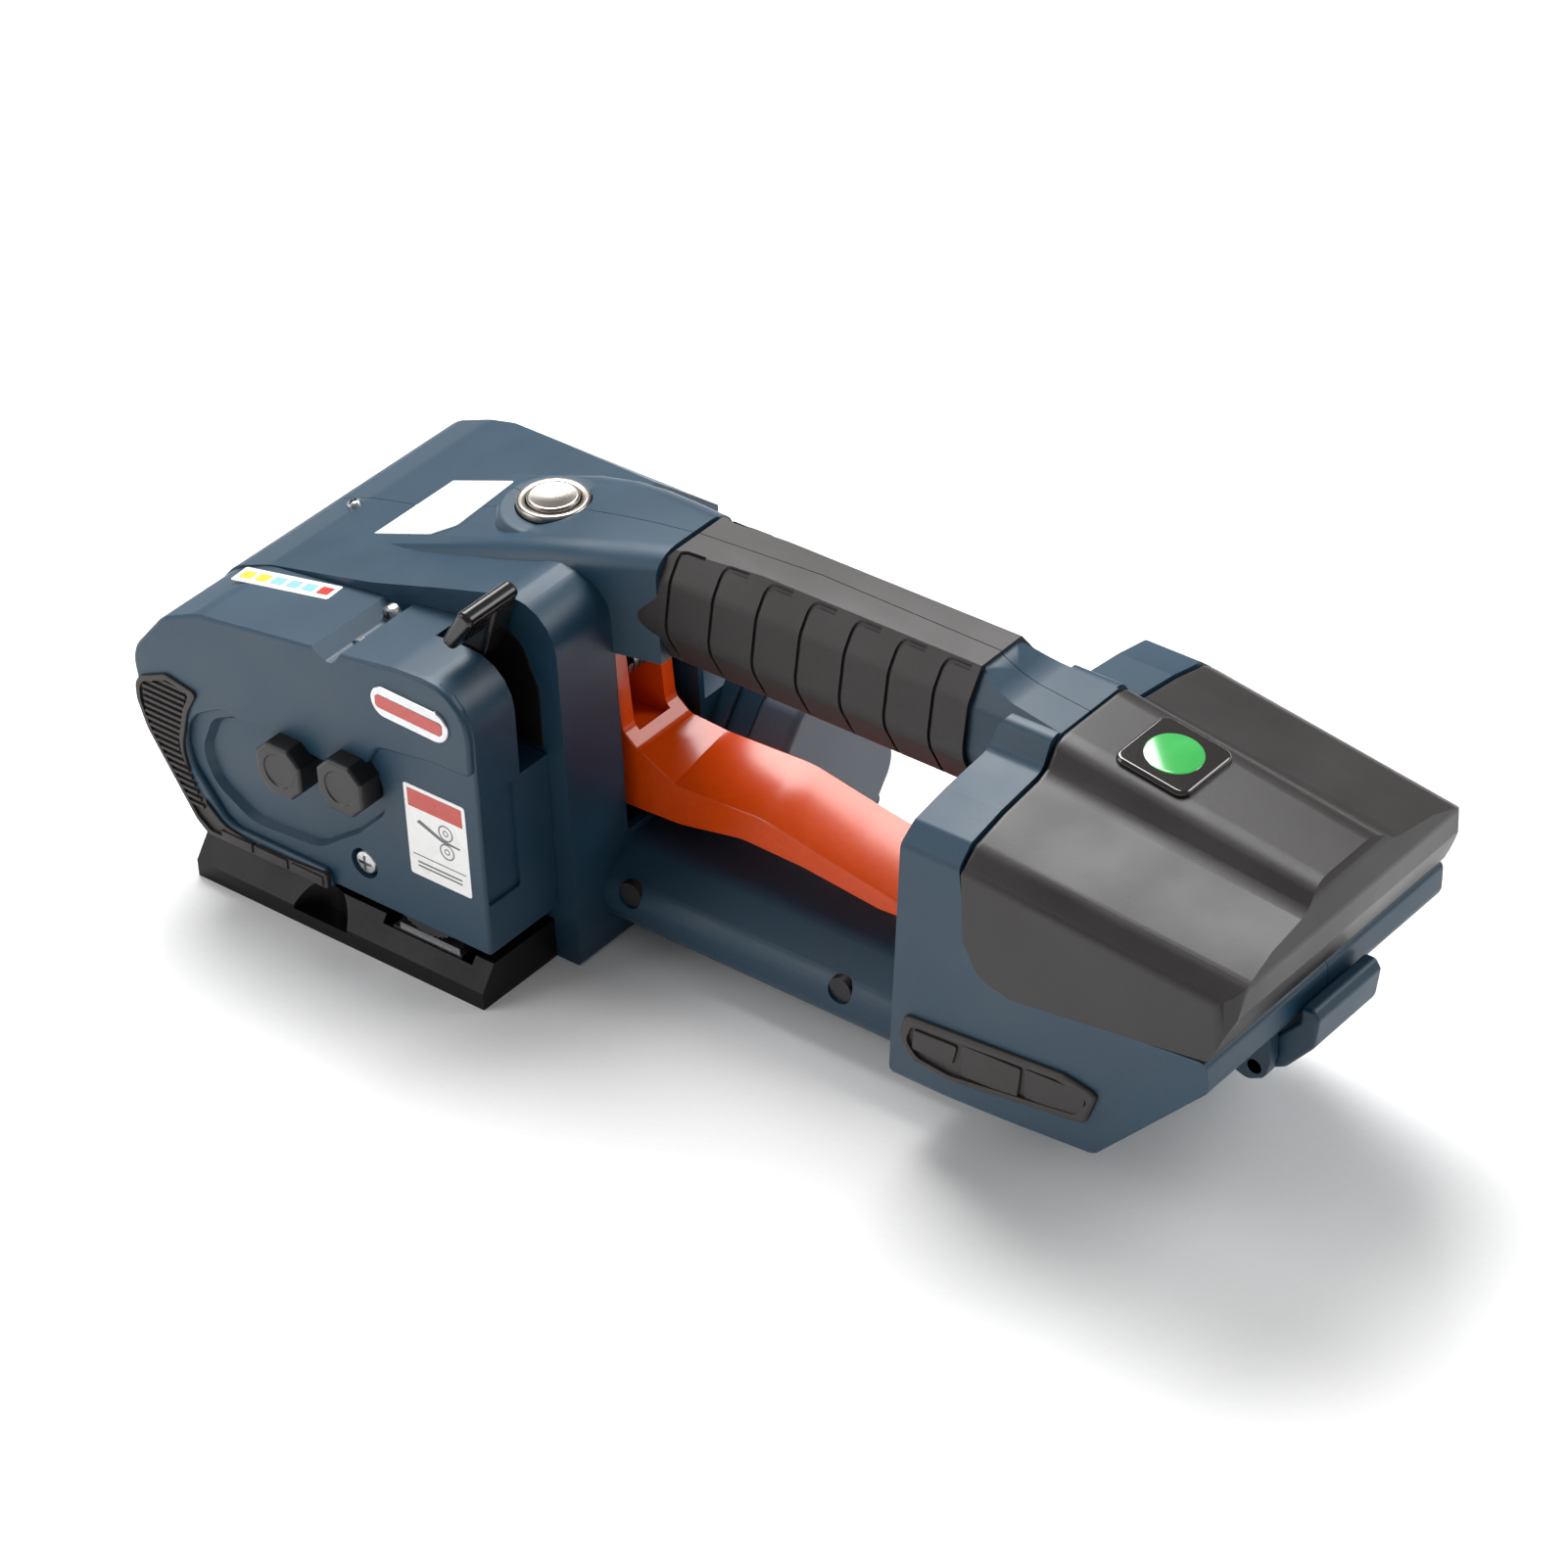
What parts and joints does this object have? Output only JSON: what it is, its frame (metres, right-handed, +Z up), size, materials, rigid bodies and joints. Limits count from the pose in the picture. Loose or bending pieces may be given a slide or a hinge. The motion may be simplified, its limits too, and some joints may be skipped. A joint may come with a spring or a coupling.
{
  "type": "battery strapping tool",
  "caption": "Hand-held battery tool that tensions, friction-welds and cuts plastic strap, with a slide-on battery, lift lever, weld lever and start button.",
  "frame": {"origin": "centre of the sole of the base plate, on the surface the tool stands on", "axes": "+X along the tool towards the battery, +Y away from the side where the strap goes in, +Z up"},
  "size_m": [0.3291, 0.131, 0.1176],
  "materials": {
    "housing_plastic": "satin",
    "cap_plastic": "satin",
    "grip_rubber": "matte",
    "battery_plastic": "satin",
    "lever_plastic": "gloss",
    "lever_alloy": "satin",
    "black_steel": "satin",
    "casting": "matte",
    "bright_steel": "satin",
    "dark_steel": "satin",
    "rotor_iron": "matte",
    "black_plastic": "satin",
    "belt_rubber": "matte",
    "board": "satin",
    "cell": "satin"
  },
  "bodies": {
    "housing": {"base_plate": "black_steel", "gearbox_frame": "casting", "side_cover": "housing_plastic", "housing_near": "housing_plastic", "housing_far": "housing_plastic", "motor_cover": "housing_plastic", "motor_end_cap": "cap_plastic", "grip_near": "grip_rubber", "grip_far": "grip_rubber", "nose_bumper": "grip_rubber", "dock_bumper_near": "grip_rubber", "dock_bumper_far": "grip_rubber", "motor_can": "dark_steel", "motor_bearings": "bright_steel", "wheel_bearings": "bright_steel", "gearhead_case": "dark_steel", "drive_belt": "belt_rubber", "release_spring": "bright_steel", "pivot_pins": "bright_steel", "button_bezel": "bright_steel", "button_nut": "black_plastic", "tension_sensor": "black_plastic", "weld_time_sensor": "black_plastic", "control_board": "board", "lever_switch": "black_plastic", "battery_terminal": "black_plastic", "power_lead": "belt_rubber", "housing_screws": "black_steel", "cover_screws": "black_steel", "plate_screws": "black_steel", "motor_screws": "black_steel"},
    "rotor": {"motor_rotor": "rotor_iron", "motor_shaft": "bright_steel", "bevel_pinion": "bright_steel", "drive_pulley": "dark_steel"},
    "gear_input": {"bevel_gear": "bright_steel", "input_spindle": "bright_steel"},
    "tension_wheel": {"tension_wheel": "dark_steel", "wheel_shaft": "bright_steel", "planet_carrier": "bright_steel"},
    "eccentric": {"eccentric_shaft": "bright_steel", "eccentric_pulley": "dark_steel"},
    "weld_lever": {"weld_lever": "lever_alloy", "weld_lever_shaft": "bright_steel"},
    "weld_arm": {"weld_arm": "bright_steel", "cutter_blade": "bright_steel"},
    "weld_shoe": {"weld_shoe": "bright_steel", "shoe_rod": "bright_steel"},
    "release_lever": {"release_lever": "lever_plastic"},
    "rocker": {"rocker": "bright_steel", "toothed_plate": "bright_steel"},
    "start_button": {"start_button": "bright_steel"},
    "tension_knob": {"tension_knob": "black_plastic"},
    "weld_time_knob": {"weld_time_knob": "black_plastic"},
    "battery": {"battery_case_upper": "battery_plastic", "battery_case_lower": "battery_plastic", "battery_cells": "cell"},
    "battery_latch": {"battery_latch": "battery_plastic"}
  },
  "joints": [
    {"name": "rotor_spin", "type": "hinge", "parent": "housing", "child": "rotor", "pos_m": [0.06, 0.07, 0.0249], "axis": [1, 0, 0], "continuous": true},
    {"name": "gear_input_spin", "type": "hinge", "parent": "housing", "child": "gear_input", "pos_m": [0.028, 0.06, 0.0249], "axis": [0, 1, 0], "continuous": true},
    {"name": "tension_wheel_spin", "type": "hinge", "parent": "housing", "child": "tension_wheel", "pos_m": [0.028, 0, 0.0249], "axis": [0, 1, 0], "continuous": true},
    {"name": "eccentric_spin", "type": "hinge", "parent": "housing", "child": "eccentric", "pos_m": [-0.03, 0.0135, 0.0249], "axis": [1, 0, 0], "continuous": true},
    {"name": "weld_lever_swing", "type": "hinge", "parent": "housing", "child": "weld_lever", "pos_m": [0.022, -0.008, 0.066], "axis": [0, 1, 0], "range_deg": [0, 55]},
    {"name": "weld_arm_swing", "type": "hinge", "parent": "housing", "child": "weld_arm", "pos_m": [-0.046, -0.008, 0.037], "axis": [0, 1, 0], "range_deg": [0, 1.75]},
    {"name": "weld_shoe_slide", "type": "slide", "parent": "weld_arm", "child": "weld_shoe", "axis": [0, 1, 0], "range_m": [-0.001, 0.001]},
    {"name": "release_lever_pull", "type": "hinge", "parent": "housing", "child": "release_lever", "pos_m": [0.046, 0.034, 0.072], "axis": [0, -1, 0], "range_deg": [0, 10], "stiffness_Nm_per_rad": 2, "springref_deg": -6.88},
    {"name": "rocker_lift", "type": "hinge", "parent": "housing", "child": "rocker", "pos_m": [-0.004, 0, 0.022], "axis": [0, 1, 0], "range_deg": [0, 5.6]},
    {"name": "start_button_press", "type": "slide", "parent": "housing", "child": "start_button", "axis": [0, 0, -1], "range_m": [0, 0.0015], "stiffness_N_per_m": 600, "springref_m": -0.001},
    {"name": "tension_knob_turn", "type": "hinge", "parent": "housing", "child": "tension_knob", "pos_m": [-0.01, -0.032, 0.0515], "axis": [0, 1, 0], "range_deg": [-135, 135]},
    {"name": "weld_time_knob_turn", "type": "hinge", "parent": "housing", "child": "weld_time_knob", "pos_m": [0.011, -0.032, 0.055], "axis": [0, 1, 0], "range_deg": [-135, 135]},
    {"name": "battery_slide", "type": "slide", "parent": "housing", "child": "battery", "axis": [0.995, 0, 0.0995], "range_m": [0, 0.09]},
    {"name": "battery_latch_flip", "type": "hinge", "parent": "battery", "child": "battery_latch", "pos_m": [0.248, 0.035, 0.0423], "axis": [0, 1, 0], "range_deg": [0, 15], "stiffness_Nm_per_rad": 0.4, "springref_deg": -5.73}
  ],
  "couplings": [
    {"joint": "gear_input_spin", "follows": "rotor_spin", "ratio": 0.42857},
    {"joint": "tension_wheel_spin", "follows": "rotor_spin", "ratio": 0.026786},
    {"joint": "eccentric_spin", "follows": "rotor_spin", "ratio": 1.26},
    {"joint": "weld_arm_swing", "follows": "weld_lever_swing", "ratio": 0.030909},
    {"joint": "rocker_lift", "follows": "release_lever_pull", "ratio": 0.55}
  ]
}
